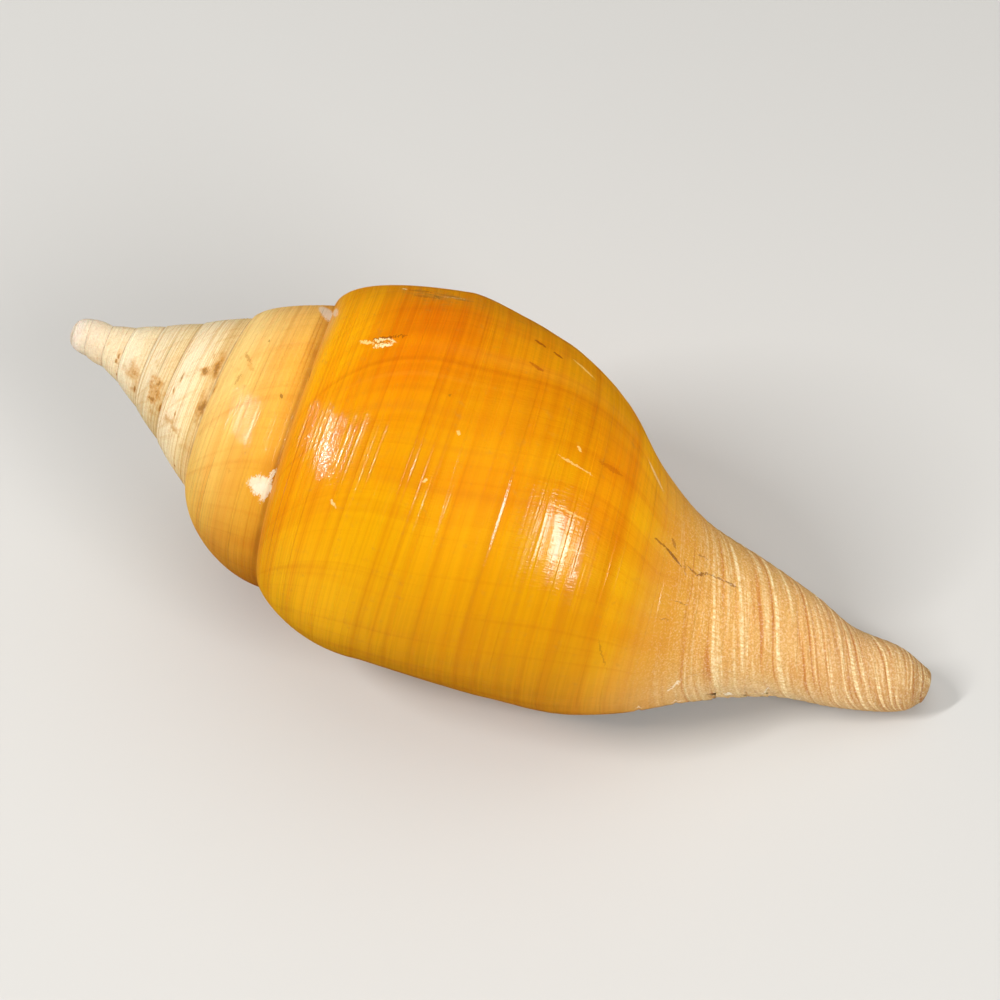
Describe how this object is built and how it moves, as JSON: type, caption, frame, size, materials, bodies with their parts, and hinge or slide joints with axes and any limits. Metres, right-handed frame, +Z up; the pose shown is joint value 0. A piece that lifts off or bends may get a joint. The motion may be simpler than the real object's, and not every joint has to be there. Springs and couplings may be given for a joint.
{
  "type": "turbinella laevigata shell",
  "caption": "Right-handed spindle-shaped sea shell with a pointed spire, a swollen last whorl, an open mouth and a long ribbed canal, lying on its mouth.",
  "frame": {"origin": "middle of the shell's bounding box, on the surface it lies on", "axes": "+X from the apex to the end of the canal, +Y away from the lip, +Z up"},
  "size_m": [0.115, 0.0498, 0.0466],
  "materials": {
    "shell": "glossy amber to cream shell with fine spiral threads"
  },
  "bodies": {
    "root": {"shell": "shell"}
  },
  "joints": []
}
